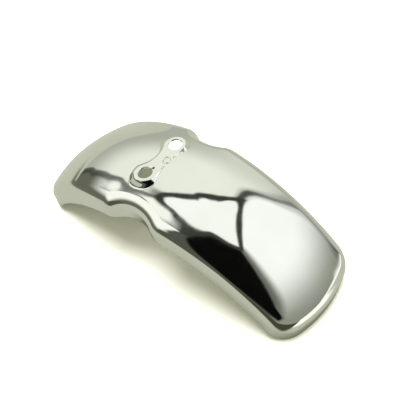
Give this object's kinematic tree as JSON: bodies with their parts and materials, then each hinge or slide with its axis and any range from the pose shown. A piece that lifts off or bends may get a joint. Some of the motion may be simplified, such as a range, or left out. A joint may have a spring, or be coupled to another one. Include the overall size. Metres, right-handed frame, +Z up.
{
  "type": "motorcycle front mudguard",
  "caption": "Chrome-plated pressed steel mudguard: a crowned arc over a small wheel, with a turned-down rim, fork scallops and a raised pad with fixing holes.",
  "frame": {"origin": "middle of the bounding box in plan, on the level of the two end lips that it stands on", "axes": "+X along the arc towards the long end, +Y across the wheel, +Z up, away from the wheel"},
  "size_m": [0.2912, 0.1068, 0.0875],
  "materials": {
    "chrome_plate": "bright chrome plate on polished pressed steel"
  },
  "bodies": {
    "root": {"mudguard": "chrome_plate"}
  },
  "joints": []
}
